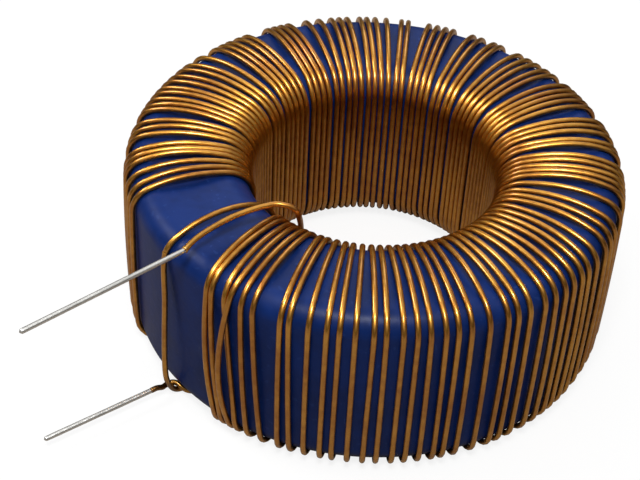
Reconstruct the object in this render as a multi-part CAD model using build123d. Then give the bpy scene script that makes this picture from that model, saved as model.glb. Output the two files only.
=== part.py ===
from build123d import *
import os
from math import cos, degrees, radians, sin, sqrt

# Toroidal inductor: a coated powder ring wound with one length of enamelled copper wire,
# whose two ends are stripped, tinned and left straight for soldering. Lengths are in
# millimetres and angles in degrees. The ring lies flat, its axis is Z, the winding stands
# on Z = 0, and both ends leave towards -Y. Angles round the ring run anticlockwise from +X.

# Ring core, over its coating
core_outer_diameter = 47.2
core_inner_diameter = 24.6
core_height = 18.5
outer_edge_radius = 2.1
bore_edge_radius = 3.2

# Wire
wire_diameter = 0.55  # over the enamel
lay_gap = 0.04  # between the wire and what it lies on
wire_sides = 6  # the solid wire is a prism inside the round one
turn_arch = 0.6  # the rise of a turn in the middle of the core's top

# Turns: side by side in the bore, looser in the front half than at the back
first_turn_angle = -81.9
wound_span = 332  # the turns stop before they have gone this far round
front_turns = 41
front_gap = 0.17
back_gap = 0.11

# On the rim the turns gather in bunches, counted here in the order they were wound
bunches = (2, 2, 2, 2, 1, 2) + (1,) * 20
bunches += (3, 1, 5, 2, 3, 5, 5, 2, 2, 4, 2, 1, 3, 3, 2, 4, 5, 1, 2, 7, 3, 3, 1, 1, 1)
bunch_gap = 0.4  # between neighbours in a bunch

# Tinned ends
tinned_diameter = 0.50
tip_rounding = 0.15
end_splay = 2.4  # each end turns this far away from -Y
straight_before_end = 0.9  # the enamelled wire's stretch in line with each end
upper_end_length = 16.6
upper_end_rise = 1.0  # its middle, over the turns at the rim
upper_end_setback = 0.2  # its start, inside the winding's outer radius
lower_end_length = 11.4
lower_end_height = 1.4
lower_end_reach = 1.8  # its start, beyond the winding's outer radius

# Loose turn that crosses the bare part of the ring after the last bunch
loose_arch = 1.1  # its rise over the turns
loose_stand_off = 0.85  # its distance from the wall near the foot
loose_foot_height = 0.8
loose_foot_setback = 0.4  # where it reaches the floor, inside the turns on the rim

# The first wire crosses over the foot of the loose turn, under the rounded edge of the core
crossing_height = 1.0
crossing_setback = 0.6
landing_setback = 1.7

# Enamelled part of the upper end, up the bore over the first turns and out over the top:
# how far beyond the turns in the bore, how far on from the first turn, and how high over
# the turns each of its corners is
riser_head = (-0.59, 9.9, -1.8)
arch = ((1.2, 11.0, 0.9), (2.0, 6.6, 2.0), (3.7, 2.1, 2.1), (6.2, -0.8, 1.95))

# Angles of the loose wires: before the first turn going clockwise, and after it going on
upper_end_angle = first_turn_angle - 1.2
riser_foot_angle = first_turn_angle - 4.1
loose_bore_angle = riser_foot_angle - 4.0
lower_end_angle = first_turn_angle - 8.6
loose_rim_angle = lower_end_angle - 0.6
loose_foot_angle = lower_end_angle + 1.9
loose_landing_angle = lower_end_angle + 1.0
crossing_angle = lower_end_angle + 1.5
landing_angle = lower_end_angle + 4.0

# Middle line of the wire where it lies on the core
stand_off = lay_gap + wire_diameter / 2
bore_line = core_inner_diameter / 2 - stand_off
riser_line = bore_line - wire_diameter - lay_gap
rim_line = core_outer_diameter / 2 + stand_off
bottom_line = wire_diameter / 2
top_line = bottom_line + core_height + 2 * stand_off
winding_radius = rim_line + wire_diameter / 2
winding_height = top_line + wire_diameter / 2
middle_radius = (bore_line + rim_line) / 2

# Each corner of the wire's route is cut to two, so that it rounds the core's edge
bore_cut = (2 - sqrt(2)) * (bore_edge_radius + stand_off)
rim_cut = (2 - sqrt(2)) * (outer_edge_radius + stand_off)
free_cut = 0.4
arch_cut = 0.6


def at(radius, angle, height):
    """The point at a radius and an angle round the ring's axis, and a height."""
    return Vector(radius * cos(radians(angle)), radius * sin(radians(angle)), height)


def lower_end_start():
    return at(winding_radius + lower_end_reach, lower_end_angle, lower_end_height)


def lower_end_way():
    return at(1, -90 - end_splay, 0)


def upper_end_start():
    height = winding_height + upper_end_rise
    return at(winding_radius - upper_end_setback, upper_end_angle, height)


def upper_end_way():
    return at(1, -90 + end_splay, 0)


def bore_angles():
    """The angle of each main turn in the bore."""
    angles = []
    angle = first_turn_angle
    for turn in range(1, sum(bunches) + 1):
        if angle - first_turn_angle > wound_span:
            break
        angles.append(angle)
        gap = front_gap if turn < front_turns else back_gap
        angle += degrees((wire_diameter + gap) / bore_line)
    return angles


def rim_angles(in_bore):
    """The angle of each main turn on the rim, where each bunch closes up about its middle."""
    spacing = degrees((wire_diameter + bunch_gap) / rim_line)
    angles = []
    for count in bunches:
        bunch = in_bore[len(angles) : len(angles) + count]
        for place in range(len(bunch)):
            middle = sum(bunch) / len(bunch)
            angles.append(middle + (place - (len(bunch) - 1) / 2) * spacing)
    return angles


def wire_corners():
    """The corners of the wire's route from its lower end to its upper one, each with its cut."""
    return lower_lead_corners() + turn_corners() + loose_turn_corners() + riser_corners()


def lower_lead_corners():
    """From the lower end over the foot of the loose turn, to the underside of the core."""
    start = lower_end_start()
    crossing = at(rim_line - crossing_setback, crossing_angle, crossing_height)
    landing = at(rim_line - landing_setback, landing_angle, bottom_line)
    return [
        (start, 0),
        (start - lower_end_way() * straight_before_end, free_cut),
        (crossing, free_cut),
        (landing, free_cut),
    ]


def turn_corners():
    """The main turns: each up the bore, over the top in an arch, and down the wall."""
    corners = []
    in_bore = bore_angles()
    for bore, rim in zip(in_bore, rim_angles(in_bore)):
        corners.append((at(bore_line, bore, bottom_line), bore_cut))
        corners.append((at(bore_line, bore, top_line), bore_cut))
        corners.append((at(middle_radius, (bore + rim) / 2, top_line + turn_arch), 0))
        corners.append((at(rim_line, rim, top_line), rim_cut))
        corners.append((at(rim_line, rim, bottom_line), rim_cut))
    return corners


def loose_turn_corners():
    """The last turn, over the bare part of the ring, bowing out from the wall to its foot."""
    middle_angle = (loose_bore_angle + loose_rim_angle) / 2
    foot_radius = rim_line + loose_stand_off
    landing_radius = rim_line - loose_foot_setback
    return [
        (at(bore_line, loose_bore_angle, bottom_line), bore_cut),
        (at(bore_line, loose_bore_angle, top_line), bore_cut),
        (at(middle_radius, middle_angle, top_line + loose_arch), bore_cut),
        (at(rim_line, loose_rim_angle, top_line), rim_cut),
        (at(foot_radius, loose_foot_angle, loose_foot_height), free_cut),
        (at(landing_radius, loose_landing_angle, bottom_line), free_cut),
    ]


def riser_corners():
    """From the loose turn up the bore over the first turns, and out to the upper end."""
    end = upper_end_start()
    corners = [(at(riser_line, riser_foot_angle, bottom_line), bore_cut)]
    for cut, (beyond, onward, over) in zip((free_cut,) + (arch_cut,) * 4, (riser_head,) + arch):
        corner = at(bore_line + beyond, first_turn_angle + onward, top_line + over)
        corners.append((corner, cut))
    corners.append((end - upper_end_way() * straight_before_end, free_cut))
    corners.append((end, 0))
    return corners


def eased(corners):
    """The route with each cut corner replaced by two points, its cut away on either side."""
    route = [corners[0][0]]
    for (before, _), (corner, cut), (after, _) in zip(corners, corners[1:], corners[2:]):
        if cut == 0:
            route.append(corner)
        else:
            route.append(corner + (before - corner).normalized() * cut)
            route.append(corner + (after - corner).normalized() * cut)
    route.append(corners[-1][0])
    return route


def mitred_bar(route, diameter, sides):
    """A closed solid with a regular section, carried along straight runs that meet in mitres."""
    runs = [(end - start).normalized() for start, end in zip(route, route[1:])]
    first = Plane(origin=route[0], z_dir=runs[0])
    ring = [
        first.from_local_coords(at(diameter / 2, 360 * side / sides, 0)) for side in range(sides)
    ]
    faces = [Face(Wire.make_polygon(ring))]
    for run, point, next_run in zip(runs, route[1:], runs[1:] + runs[-1:]):
        mitre = (run + next_run).normalized()
        cut_ring = [
            corner + run * ((point - corner).dot(mitre) / run.dot(mitre)) for corner in ring
        ]
        for side in range(sides):
            quad = [ring[side - 1], ring[side], cut_ring[side], cut_ring[side - 1]]
            faces.append(Face(Wire.make_polygon(quad)))
        ring = cut_ring
    faces.append(Face(Wire.make_polygon(ring)))
    return Solid(Shell(faces))


def make_core():
    """The coated ring, with its four round edges rounded."""
    width = (core_outer_diameter - core_inner_diameter) / 2
    middle = (core_outer_diameter + core_inner_diameter) / 4
    lift = bottom_line + stand_off + core_height / 2
    section = Plane.XZ * Pos(middle, lift) * Rectangle(width, core_height)
    by_radius = section.vertices().sort_by(Axis.X)
    section = fillet(by_radius[2:], outer_edge_radius)
    section = fillet(section.vertices().sort_by(Axis.X)[:2], bore_edge_radius)
    return revolve(section, Axis.Z)


def make_tinned_end(start, way, length):
    """A straight round bar that butts against the enamelled wire, with a rounded tip."""
    along = Plane(origin=start, z_dir=way)
    bar = along * Cylinder(
        tinned_diameter / 2, length, align=(Align.CENTER, Align.CENTER, Align.MIN)
    )
    tip = bar.edges().group_by(lambda edge: (edge.center() - start).length)[-1]
    return fillet(tip, tip_rounding)


def make_winding():
    return mitred_bar(eased(wire_corners()), wire_diameter, wire_sides)


parts = {
    "core": make_core(),
    "winding": make_winding(),
    "tinned_end_lower": make_tinned_end(lower_end_start(), lower_end_way(), lower_end_length),
    "tinned_end_upper": make_tinned_end(upper_end_start(), upper_end_way(), upper_end_length),
}

os.makedirs("parts", exist_ok=True)
for name, part in parts.items():
    export_step(part, f"parts/{name}.step")
    print(f"{name}: {part.volume:.3f} mm3, valid {part.is_valid}")
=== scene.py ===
from math import cos, pi, radians, sin, tan

import bpy
import numpy as np
from mathutils import Matrix, Vector


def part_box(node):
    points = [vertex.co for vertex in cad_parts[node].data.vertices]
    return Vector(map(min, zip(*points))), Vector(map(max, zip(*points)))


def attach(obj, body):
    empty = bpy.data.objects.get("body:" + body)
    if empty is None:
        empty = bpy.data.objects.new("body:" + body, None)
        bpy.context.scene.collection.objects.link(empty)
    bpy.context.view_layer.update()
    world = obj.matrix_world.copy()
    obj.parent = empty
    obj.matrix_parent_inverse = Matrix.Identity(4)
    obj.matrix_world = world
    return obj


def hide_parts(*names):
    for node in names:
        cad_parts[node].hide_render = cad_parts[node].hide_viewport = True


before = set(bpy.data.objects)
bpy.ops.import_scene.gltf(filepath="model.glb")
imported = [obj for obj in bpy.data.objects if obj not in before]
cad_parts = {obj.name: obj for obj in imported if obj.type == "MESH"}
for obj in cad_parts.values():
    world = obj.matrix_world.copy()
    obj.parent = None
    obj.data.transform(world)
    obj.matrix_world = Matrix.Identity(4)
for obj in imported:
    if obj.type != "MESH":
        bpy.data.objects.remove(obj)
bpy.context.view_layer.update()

# Lengths are in millimetres and angles in degrees; MM turns a length into the scene's metres.
# Angles round the ring run anticlockwise from +X, and heights are over the floor.
MM = 0.001

# Ring core, from the frame, with the sizes that its box doesn't give
core_low, core_high = (Vector(corner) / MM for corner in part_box("core"))
core_radius = core_high.x
core_bore_radius = 12.3
core_middle_radius = (core_bore_radius + core_radius) / 2
core_middle = (core_low.z + core_high.z) / 2
core_half_height = (core_high.z - core_low.z) / 2
outer_edge_radius = 2.1
bore_edge_radius = 3.2

# Wire
wire_diameter = 0.55
lay_gap = 0.04  # between the wire and the core
enamel_lip = 0.16  # the share by which the wire thickens where its enamel ends
enamel_lip_reach = 0.35  # along the wire
stand_off = lay_gap + wire_diameter / 2
bore_line = core_bore_radius - stand_off

# Turns in the bore: side by side, a little wider apart over the first part of the ring
first_turn_angle = -81.9
front_turns = 41
front_gap = 0.17
back_gap = 0.11
bore_bunching = 0.93  # the turns of a bunch close up a little in the bore too

# Bunches on the rim, in the order they were wound: how many turns, how far round the bunch
# sits from the middle of the same turns in the bore, and how far apart its turns are. Along
# the front each turn lies by itself.
front_shifts = (1.5, 1.6, 0.8, 1.0, 0.6, 0.1, -0.1, -1.0, -1.5, -0.9)
front_shifts += (-0.1, -0.9, -1.1, -0.6, -0.7, -0.9, -1.5, -2.0, -2.7, -2.3)
bunches = [(2, 5.1, 1.7), (2, 2.2, 1.2), (2, 1.0, 3.2), (2, 2.1, 2.3), (1, 1.8, 0), (2, 1.8, 2.9)]
bunches += [(1, shift, 0) for shift in front_shifts]
bunches += [(3, -1.4, 3.3), (1, 0.8, 0), (5, 0.4, 2.2), (2, -0.3, 2.2), (3, -0.4, 2.7)]
bunches += [(5, 1.0, 2.5), (5, 1.1, 3.0), (2, 2.7, 2.0), (2, 2.5, 2.9), (4, 3.2, 2.2)]
bunches += [(2, 3.8, 1.5), (1, 3.9, 0), (3, 2.9, 2.1), (3, 0.9, 2.2), (2, 0.2, 3.3), (4, 0.6, 1.9)]
bunches += [(5, 0.9, 2.4), (1, 1.6, 0), (2, 2.6, 2.6), (7, 1.4, 2.6), (3, 1.2, 2.5), (3, 2.1, 2.1)]
bunches += [(1, 1.9, 0), (1, 2.6, 0), (1, 2.5, 0)]

# How unevenly the turns were wound: how far each strays in the bore and on the rim, its slope
# in the bore, its share of the usual slopes over the top, and its lean and bulge on the wall
bore_stray = 0.08
rim_stray = 0.15
bore_slope_range = (0.2, 0.8)
over_share_range = (0.8, 1.15)
lean_range = (-0.3, 0.2)
bulge_range = (0.05, 0.3)

# The first turns are less even than the others: each one's lean and sway, and its bulge in
# the middle of the wall. The fourth crosses over the third, and their angles on the rim are
# given, with the turns numbered from 0.
first_walls = [(-1.15, 0, 0.9), (-1.4, 0, 0.6), (-1.75, 0, 0.0), (0.25, 1.15, 1.3)]
first_walls += [(-1.0, 0, 0.35), (-1.4, 0, 0.3), (-0.1, 0, 0.25), (-0.6, 0, 0.2)]
crossing_pair = {2: -70.6, 3: -71.9}

# A turn's slopes where it leaves the bore's edge and where it meets the rim's
over_from_bore = 16.0
over_to_rim = 21.0

# Loose turn over the bare part of the ring
loose_bore_angle = -90.0
loose_rim_angle = -91.0
loose_slope = 27.0  # where it leaves the bore's edge and where it meets the rim's
loose_wall_top = 8.0  # over the core's middle, where it comes off the rim's edge

# Tinned ends
end_splay = 2.4  # each end turns this far away from -Y
straight_before_end = 0.6  # the enamelled wire's stretch in line with the lower end
tinned_radius = 0.25
solder_share = 0.985  # of that radius, on average
solder_unevenness = 0.012
solder_waves = (0.9, 1.7, 3.1, 6.0)
blunt_tip = 0.02  # the least share of the section that is left at the tip

# How finely the core, the wire and the ends are divided
steps_around_core = 288
core_edge_steps = 8
bore_steps = 4
bore_edge_steps = 7
top_steps = 9
rim_edge_steps = 6
wall_steps = 5
lower_lead_steps = 5
loose_wire_steps = 6
wire_facets = 14
end_steps = 90
end_facets = 16

# The floor and the lamps: a lamp's place, size and power in watts
floor_size = 4000
floor_glow = 0.85  # the share of plain white in the floor as the camera sees it
lamp_target = (0, 0, 10)
lamps = {
    "key": ((95, -95, 300), 75, 0.72),
    "left": ((-200, -140, 250), 110, 0.42),
    "back": ((-190, 210, 260), 200, 0.17),
}


def at(radius, angle, height):
    """The point at a radius and an angle round the ring's axis, and a height."""
    return np.array([radius * cos(radians(angle)), radius * sin(radians(angle)), height])


# Where each end starts, which way it points, and its length
lower_start = at(25.99, -90.5, 1.4)
lower_way = at(1, -90 - end_splay, 0)
lower_length = 11.4
upper_start = at(23.99, -83.1, 20.68)
upper_way = at(1, -90 + end_splay, 0)
upper_length = 16.6

# Free stretches of the wire, as the radius, angle and height of points on its middle line.
# From the lower end over the foot of the loose turn, to the underside of the core
lower_lead = [
    (24.75, -90.5, 1.12), (24.2, -90.85, 1.02), (23.65, -90.7, 1.06), (23.3, -89.8, 1.08),
    (23.1, -88.6, 0.88), (22.8, -87.5, 0.6), (22.2, -86.6, 0.36), (21.3, -85.9, 0.29),
]
# From there it runs straight to the bore, from this much nearer the axis and this much
# further round
landing_run = 1.0
landing_turn = -0.4
# The loose turn from the top of the wall to its foot, where it turns in under the core
loose_wall = [
    (23.75, -91.0, 17.9), (24.0, -90.8, 16.3), (24.3, -89.7, 12.8), (24.6, -89.2, 9.0),
    (24.75, -89.0, 5.6), (24.75, -88.8, 3.4), (24.4, -89.1, 2.0), (23.95, -89.4, 1.0),
    (23.45, -89.5, 0.42), (22.9, -89.2, 0.31), (22.2, -88.9, 0.3), (18.5, -88.1, 0.3),
]
# Up the bore, over the first turns there
riser = [
    (15.4, -87.0, 0.31), (14.3, -86.6, 0.37), (13.4, -86.3, 0.54), (12.5, -86.1, 0.98),
    (11.5, -86.0, 2.6), (11.38, -84.8, 5.0), (11.38, -81.6, 9.0), (11.38, -77.4, 14.0),
    (11.57, -74.9, 16.7), (11.95, -73.7, 18.0), (12.5, -72.5, 19.1),
]
# Off the ring's top and out over it to the upper end
upper_lead = [
    (12.87, -72.0, 19.85), (13.08, -72.4, 20.4), (13.3, -74.2, 20.8), (13.7, -76.5, 21.0),
    (14.22, -79.0, 21.08), (15.28, -81.1, 21.1), (16.44, -82.6, 21.08), (17.8, -83.7, 21.03),
    (19.06, -84.2, 20.98), (20.56, -84.3, 20.92), (22.0, -84.15, 20.85), (23.0, -83.75, 20.76),
]


class Signal:
    """An output of a material's nodes. Arithmetic on it adds Math nodes."""

    def __init__(self, tree, socket=None):
        self.tree = tree
        self.socket = socket

    def node(self, kind, inputs=None, output=0, **settings):
        """Adds a node with these settings, feeds its inputs, and gives the output asked for."""
        made = self.tree.nodes.new("ShaderNode" + kind)
        for name, value in settings.items():
            setattr(made, name, value)
        for name, value in (inputs or {}).items():
            if isinstance(value, Signal):
                self.tree.links.new(value.socket, made.inputs[name])
            else:
                made.inputs[name].default_value = value
        return Signal(self.tree, made.outputs[output] if made.outputs else None)

    def math(self, operation, first, second):
        return self.node("Math", {0: first, 1: second}, operation=operation)

    def __add__(self, other):
        return self.math("ADD", self, other)

    def __radd__(self, other):
        return self.math("ADD", other, self)

    def __sub__(self, other):
        return self.math("SUBTRACT", self, other)

    def __rsub__(self, other):
        return self.math("SUBTRACT", other, self)

    def __mul__(self, other):
        return self.math("MULTIPLY", self, other)

    def __rmul__(self, other):
        return self.math("MULTIPLY", other, self)

    def over(self, low, high):
        """0 where the signal is at low, 1 where it is at high, and smooth between."""
        inputs = {"Value": self, "From Min": low, "From Max": high}
        return self.node("MapRange", inputs, interpolation_type="SMOOTHSTEP")

    def mix(self, low, high):
        """The colour low where the signal is 0 and high where it is 1."""
        factor, first_colour, second_colour, mixed_colour = 0, 6, 7, 2
        inputs = {factor: self, first_colour: low, second_colour: high}
        return self.node("Mix", inputs, output=mixed_colour, data_type="RGBA")


def colour(red, green, blue):
    return (red, green, blue, 1.0)


def new_material(name):
    """An empty material, and a signal to build its nodes from."""
    material = bpy.data.materials.new(name)
    material.use_nodes = True
    material.node_tree.nodes.clear()
    return material, Signal(material.node_tree)


def noise(place, size, detail=2.0):
    """Noise whose features are about size millimetres across."""
    return place.node("TexNoise", {"Vector": place, "Scale": 1 / (size * MM), "Detail": detail})


def finish_surface(shader, **inputs):
    """The Principled surface with these sockets, wired to the material's output."""
    inputs = {name.replace("_", " "): value for name, value in inputs.items()}
    surface = shader.node("BsdfPrincipled", inputs)
    shader.node("OutputMaterial", {"Surface": surface})


def coating_material():
    """Blue epoxy powder coat: satin, with orange peel and a few specks."""
    material, shader = new_material("blue_epoxy_coating")
    place = shader.node("TexCoord", output="Object")
    peel = noise(place, 0.9, detail=1.0)
    sag = noise(place, 5.0)
    grain = noise(place, 0.16)
    specks = noise(place, 0.5, detail=0.0).over(0.74, 0.78)
    tone = (0.7 * sag + 0.3 * peel).over(0.3, 0.7)
    base = tone.mix(colour(0.0025, 0.014, 0.085), colour(0.0045, 0.022, 0.130))
    base = (specks * 0.3).mix(base, colour(0.02, 0.05, 0.20))
    height = 0.6 * peel + 0.25 * sag + 0.12 * grain
    bump = shader.node("Bump", {"Height": height, "Distance": 0.05 * MM, "Strength": 0.5})
    roughness = 0.30 + 0.14 * sag + 0.08 * grain
    finish_surface(
        shader, Base_Color=base, Roughness=roughness, Normal=bump, Specular_IOR_Level=0.16
    )
    return material


def enamel_material():
    """Copper under clear amber enamel, darkened with painted shade where it turns in by the lower
    end.
    """
    material, shader = new_material("amber_enamelled_copper")
    place = shader.node("TexCoord", output="Object")
    drift = noise(place, 7.0, detail=3.0)
    streak = noise(place, 0.7)
    tone = (0.65 * drift + 0.35 * streak).over(0.3, 0.7)
    base = tone.mix(colour(0.42, 0.165, 0.025), colour(0.72, 0.385, 0.065))
    x, y, z = (shader.node("SeparateXYZ", {"Vector": place}, output=axis) for axis in "XYZ")
    # Painted shade: near the floor by the lower end, where the wire turns in under the core, its
    # colour is mixed towards near black
    painted_shade = (1 - x.over(2 * MM, 4 * MM)) * (1 - y.over(-24 * MM, -22.5 * MM))
    painted_shade = painted_shade * (1 - z.over(1.5 * MM, 4 * MM))
    base = (painted_shade * 0.75).mix(base, colour(0.09, 0.045, 0.02))
    bump = shader.node("Bump", {"Height": streak, "Distance": 0.01 * MM, "Strength": 0.25})
    roughness = 0.29 + 0.10 * streak
    finish_surface(
        shader,
        Base_Color=base,
        Metallic=1.0,
        Roughness=roughness,
        Normal=bump,
        Coat_Weight=0.7,
        Coat_Roughness=0.09,
        Coat_Tint=colour(1.0, 0.90, 0.72),
    )
    return material


def tinned_material():
    """Solder-tinned wire: bright grey, slightly rippled."""
    material, shader = new_material("tinned_wire")
    place = shader.node("TexCoord", output="Object")
    ripple = noise(place, 0.6)
    cloud = noise(place, 2.5)
    base = cloud.mix(colour(0.60, 0.60, 0.58), colour(0.86, 0.85, 0.82))
    bump = shader.node("Bump", {"Height": ripple, "Distance": 0.05 * MM, "Strength": 0.6})
    roughness = 0.26 + 0.18 * cloud
    finish_surface(shader, Base_Color=base, Metallic=1.0, Roughness=roughness, Normal=bump)
    return material


def mesh_piece(name, points, faces, material, node):
    """A smooth-shaded piece that rides on the part and stands for a node of the frame."""
    mesh = bpy.data.meshes.new(name)
    mesh.from_pydata((np.asarray(points) * MM).tolist(), [], faces)
    mesh.shade_smooth()
    mesh.materials.append(material)
    piece = bpy.data.objects.new(name, mesh)
    bpy.context.scene.collection.objects.link(piece)
    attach(piece, "root")
    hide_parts(node)


def quads_between(rings, around, closed):
    """The faces between rings of points; if closed, also from the last ring to the first."""
    faces = []
    last = rings if closed else rings - 1
    for ring in range(last):
        here, there = ring * around, (ring + 1) % rings * around
        for side in range(around):
            after = (side + 1) % around
            faces.append((here + side, here + after, there + after, there + side))
    return faces


def arc(centre, radius, start, end, steps):
    """Points on an arc, from one angle to another, both included."""
    angles = np.radians(np.linspace(start, end, steps + 1))
    return np.stack([centre[0] + radius * np.cos(angles), centre[1] + radius * np.sin(angles)], 1)


def bowed(start, end, start_heading, end_heading, steps):
    """Points on a bowed run between two points, both left out, with a heading at each."""
    start, end = np.array(start), np.array(end)
    reach = np.linalg.norm(end - start)
    leave = reach * np.array([cos(radians(start_heading)), sin(radians(start_heading))])
    arrive = reach * np.array([cos(radians(end_heading)), sin(radians(end_heading))])
    points = []
    for step in range(1, steps):
        t = step / steps
        points.append(
            (2 * t**3 - 3 * t**2 + 1) * start
            + (t**3 - 2 * t**2 + t) * leave
            + (3 * t**2 - 2 * t**3) * end
            + (t**3 - t**2) * arrive
        )
    return np.array(points)


def make_core():
    """The coated ring, with its four round edges rounded."""
    bore, rim = core_bore_radius, core_radius
    half = core_half_height
    inner, outer = bore_edge_radius, outer_edge_radius
    section = [
        arc((bore + inner, half - inner), inner, 180, 90, core_edge_steps),
        arc((rim - outer, half - outer), outer, 90, 0, core_edge_steps),
        arc((rim - outer, outer - half), outer, 0, -90, core_edge_steps),
        arc((bore + inner, inner - half), inner, -90, -180, core_edge_steps),
    ]
    section = np.concatenate(section)
    points = []
    for step in range(steps_around_core):
        angle = 2 * pi * step / steps_around_core
        for radius, height in section:
            points.append([radius * cos(angle), radius * sin(angle), core_middle + height])
    faces = quads_between(steps_around_core, len(section), closed=True)
    mesh_piece("coated_ring", points, faces, coating_material(), "core")


def half_turn(bore_slope, over_slopes, wall_slope):
    """A wire's middle line in a plane through the ring's axis, from half way up the bore, over
    the ring, to half way down the wall: radii, and heights from the ring's middle."""
    half = core_half_height
    from_bore, to_rim = over_slopes
    bore_centre = (core_bore_radius + bore_edge_radius, half - bore_edge_radius)
    rim_centre = (core_radius - outer_edge_radius, half - outer_edge_radius)
    bore_bend = bore_edge_radius + stand_off
    rim_bend = outer_edge_radius + stand_off
    bore_arc = arc(bore_centre, bore_bend, 180 - bore_slope, 90 + from_bore, bore_edge_steps)
    rim_arc = arc(rim_centre, rim_bend, 90 - to_rim, wall_slope, rim_edge_steps)
    bore_bow = tan(radians(bore_slope)) * bore_arc[0][1] / 2
    wall_bow = tan(radians(wall_slope)) * rim_arc[-1][1] / 2
    bore_middle = np.array([bore_arc[0][0] - bore_bow, 0])
    wall_middle = np.array([rim_arc[-1][0] + wall_bow, 0])
    return np.concatenate([
        [bore_middle],
        bowed(bore_middle, bore_arc[0], 90, 90 - bore_slope, bore_steps),
        bore_arc,
        bowed(bore_arc[-1], rim_arc[0], from_bore, -to_rim, top_steps),
        rim_arc,
        bowed(rim_arc[-1], wall_middle, wall_slope - 90, -90, wall_steps),
        [wall_middle],
    ])


def around_ring(profile, bore_angle, rim_angle, lean=0.0, sway=0.0):
    """The profile stood on the ring, running straight from its angle in the bore to that on
    the rim. From the middle of the wall to its top the wire goes round by its lean and its
    sway; to its foot it goes back by its lean and round by its sway."""
    bore_radius, rim_radius = profile[0][0], profile[-1][0]
    middle = (bore_angle + rim_angle) / 2
    points = []
    for radius, height in profile:
        up = height / core_half_height
        rim_here = rim_angle - middle + lean * up + sway * up**2
        bore_here = bore_angle - middle
        out = (radius - bore_radius) / (rim_radius - bore_radius)
        side = bore_here * bore_radius * (1 - out) + rim_here * rim_radius * out
        points.append(at(radius, middle + side / radius, core_middle + height))
    return points


def smooth_through(points, steps):
    """Points on a smooth line through the given points, both ends included."""
    points = [2 * points[0] - points[1], *points, 2 * points[-1] - points[-2]]
    line = []
    for a, b, c, d in zip(points, points[1:], points[2:], points[3:]):
        for step in range(steps):
            t = step / steps
            line.append(
                0.5 * (2 * b + (c - a) * t + (2 * a - 5 * b + 4 * c - d) * t**2
                       + (3 * b - a - 3 * c + d) * t**3)
            )
    line.append(points[-2])
    return line


def turn_angles(rng):
    """The angle of each turn in the bore and on the rim."""
    in_bore = []
    angle = first_turn_angle
    for turn in range(1, sum(count for count, _, _ in bunches) + 1):
        in_bore.append(angle)
        gap = front_gap if turn < front_turns else back_gap
        angle += np.degrees((wire_diameter + gap) / bore_line)
    on_rim = []
    for count, shift, spacing in bunches:
        first = len(on_rim)
        middle = sum(in_bore[first : first + count]) / count
        for turn in range(first, first + count):
            closed_up = middle + (in_bore[turn] - middle) * bore_bunching
            in_bore[turn] = closed_up + rng.uniform(-bore_stray, bore_stray)
            place = turn - first - (count - 1) / 2
            on_rim.append(middle + shift + place * spacing + rng.uniform(-rim_stray, rim_stray))
    for turn, angle in crossing_pair.items():
        on_rim[turn] = angle
    return in_bore, on_rim


def lower_lead_route(bore_slope, bore_angle):
    """The wire from its lower end over the foot of the loose turn, and under the core."""
    lead = [lower_start, lower_start - lower_way * straight_before_end]
    lead += [at(*point) for point in lower_lead]
    landing_radius, landing_angle, _ = lower_lead[-1]
    under = half_turn(bore_slope, (0, 0), 0) * (1, -1)
    inward = around_ring(under, bore_angle, landing_angle + landing_turn)[::-1]
    laid = [point for point in inward if np.hypot(*point[:2]) < landing_radius - landing_run]
    return smooth_through(lead, lower_lead_steps)[:-1] + laid[:-1]


def loose_route(bore_slope):
    """The loose turn over the bare part of the ring, and up the bore to the upper end."""
    over = [
        point
        for point in half_turn(bore_slope, (loose_slope, loose_slope), 0)
        if point[0] < core_middle_radius or point[1] > loose_wall_top
    ]
    route = around_ring(over, loose_bore_angle, loose_rim_angle)
    free = [route.pop()]
    free += [at(*point) for point in loose_wall + riser + upper_lead]
    free += [upper_start]
    return route + smooth_through(free, loose_wire_steps)


def wire_route():
    """The middle line of the whole enamelled wire, from its lower end to its upper one."""
    rng = np.random.default_rng(7)
    in_bore, on_rim = turn_angles(rng)
    turns = len(in_bore)
    bore_slopes = rng.uniform(*bore_slope_range, turns + 1)
    over_shares = rng.uniform(*over_share_range, turns + 1)
    over_slopes = np.outer(over_shares, (over_from_bore, over_to_rim))
    walls = [(rng.uniform(*lean_range), 0, rng.uniform(*bulge_range)) for _ in range(turns)]
    walls[: len(first_walls)] = first_walls

    route = lower_lead_route(bore_slopes[0], in_bore[0])
    next_in_bore = in_bore[1:] + [loose_bore_angle + 360]
    for turn, (lean, sway, bulge) in enumerate(walls):
        wall_slope = np.degrees(np.arctan(2 * bulge / core_half_height))
        over = half_turn(bore_slopes[turn], over_slopes[turn], wall_slope)
        route += around_ring(over, in_bore[turn], on_rim[turn], lean, sway)[:-1]
        under = half_turn(bore_slopes[turn + 1], (0, 0), wall_slope) * (1, -1)
        route += around_ring(under, next_in_bore[turn], on_rim[turn], lean, sway)[:0:-1]
    return np.array(route + loose_route(bore_slopes[-1]))


def tube(points, radii, sides):
    """The points and faces of a round bar along a line, without twist and closed at its ends."""
    ways = np.gradient(points, axis=0)
    ways /= np.linalg.norm(ways, axis=1)[:, None]
    aslant = (0.3, 0.1, 1.0)
    side = np.cross(ways[0], aslant)
    corners = 2 * np.pi * np.arange(sides) / sides
    rings = []
    for point, way, radius in zip(points, ways, radii):
        side = side - way * side.dot(way)
        side /= np.linalg.norm(side)
        other = np.cross(way, side)
        across = np.outer(np.cos(corners), side) + np.outer(np.sin(corners), other)
        rings.append(point + radius * across)
    faces = quads_between(len(points), sides, closed=False)
    faces.append(tuple(range(sides - 1, -1, -1)))
    faces.append(tuple(range((len(points) - 1) * sides, len(points) * sides)))
    return np.concatenate(rings), faces


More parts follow.
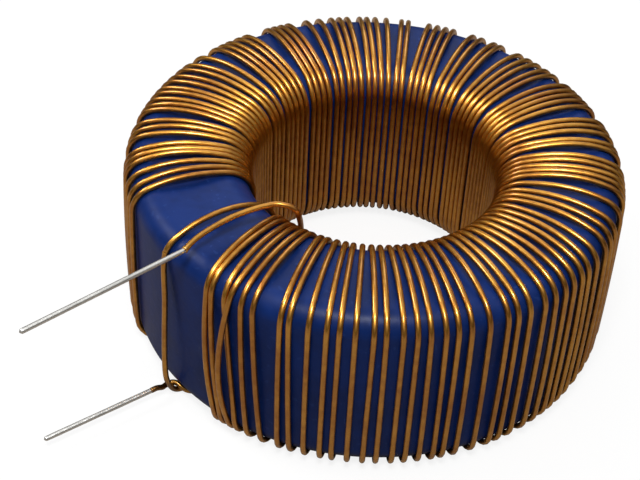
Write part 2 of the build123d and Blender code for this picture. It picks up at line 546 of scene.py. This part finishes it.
def make_winding():
    """The enamelled wire, one continuous piece, thickened where it meets the upper end."""
    route = wire_route()
    steps = np.linalg.norm(np.diff(route, axis=0, append=route[-1:]), axis=1)
    to_end = np.cumsum(steps[::-1])[::-1]
    lip = enamel_lip * np.exp(-((to_end / enamel_lip_reach) ** 2))
    radii = wire_diameter / 2 * (1 + lip)
    points, faces = tube(route, radii, wire_facets)
    mesh_piece("enamelled_wire", points, faces, enamel_material(), "winding")


def make_tinned_end(name, start, way, length, material):
    """A stripped and tinned wire end, a little uneven as solder is, with a round tip."""
    rng = np.random.default_rng(len(name))
    along = np.linspace(0, length, end_steps)
    waves = sum(
        rng.uniform(0.3, 1.0) * np.sin(2 * pi * along / wave + rng.uniform(0, 6))
        for wave in solder_waves
    )
    radii = tinned_radius * (solder_share + solder_unevenness * waves)
    tip = np.clip((length - along) / tinned_radius, 0, 1)
    radii *= np.sqrt(np.clip(1 - (1 - tip) ** 2, blunt_tip, 1))
    points, faces = tube(start + np.outer(along, way), radii, end_facets)
    mesh_piece(name + "_solder", points, faces, material, name)


def make_floor():
    """A pale floor that reads as a white background and keeps the object's shadow."""
    bpy.ops.mesh.primitive_plane_add(size=floor_size * MM)
    floor = bpy.context.object
    floor.name = "floor"
    material, shader = new_material("white_floor")
    seen = shader.node("LightPath", output="Is Camera Ray")
    mirrored = shader.node("LightPath", output="Is Glossy Ray")
    tone = mirrored.mix(colour(0.10, 0.09, 0.08), colour(0.28, 0.25, 0.22))
    paper = shader.node("BsdfDiffuse", {"Color": seen.mix(tone, colour(0.9, 0.9, 0.9))})
    glow = shader.node("Emission", {"Color": colour(1, 1, 1), "Strength": 1.0})
    surface = shader.node("MixShader", {0: seen * floor_glow, 1: paper, 2: glow})
    shader.node("OutputMaterial", {"Surface": surface})
    floor.data.materials.append(material)


def make_lamp(name, place, size, power):
    """A square soft lamp at a place, turned to the object."""
    light = bpy.data.lights.new(name, "AREA")
    light.size = size * MM
    light.energy = power
    lamp = bpy.data.objects.new(name, light)
    lamp.location = Vector(place) * MM
    way = Vector(lamp_target) - Vector(place)
    lamp.rotation_euler = way.to_track_quat("-Z", "Y").to_euler()
    bpy.context.scene.collection.objects.link(lamp)


def make_light():
    """A white background, a pale light from above and the soft lamps."""
    world = bpy.data.worlds.new("studio")
    world.use_nodes = True
    world.node_tree.nodes.clear()
    shader = Signal(world.node_tree)
    way = shader.node("TexCoord", output="Generated")
    up = shader.node("SeparateXYZ", {"Vector": way}, output="Z")
    room = up.over(0.1, 1.0).mix(colour(0.03, 0.03, 0.03), colour(0.70, 0.70, 0.69))
    seen = shader.node("LightPath", output="Is Camera Ray")
    shade = seen.mix(room, colour(1, 1, 1))
    background = shader.node("Background", {"Color": shade, "Strength": 1.0})
    shader.node("OutputWorld", {"Surface": background})
    bpy.context.scene.world = world
    for name, (place, size, power) in lamps.items():
        make_lamp(name, place, size, power)


def make_camera():
    """The photograph's view: from the front right, well above, with a slight roll."""
    camera = bpy.data.objects.new("camera", bpy.data.cameras.new("camera"))
    place = Vector((87.96, -77.96, 111.72))
    target = Vector((-0.93, -5.58, 9.84))
    roll = 2.99
    camera.data.lens = 87.5
    camera.data.sensor_width = 36
    camera.data.clip_start = 1 * MM
    level = (target - place).to_track_quat("-Z", "Y").to_matrix().to_4x4()
    camera.matrix_world = (
        Matrix.Translation(place * MM) @ level @ Matrix.Rotation(radians(roll), 4, "Z")
    )
    bpy.context.scene.collection.objects.link(camera)
    bpy.context.scene.camera = camera


make_camera()
make_light()
make_floor()
make_core()
make_winding()
tinned = tinned_material()
make_tinned_end("tinned_end_lower", lower_start, lower_way, lower_length, tinned)
make_tinned_end("tinned_end_upper", upper_start, upper_way, upper_length, tinned)
bpy.context.scene.view_settings.view_transform = "Standard"
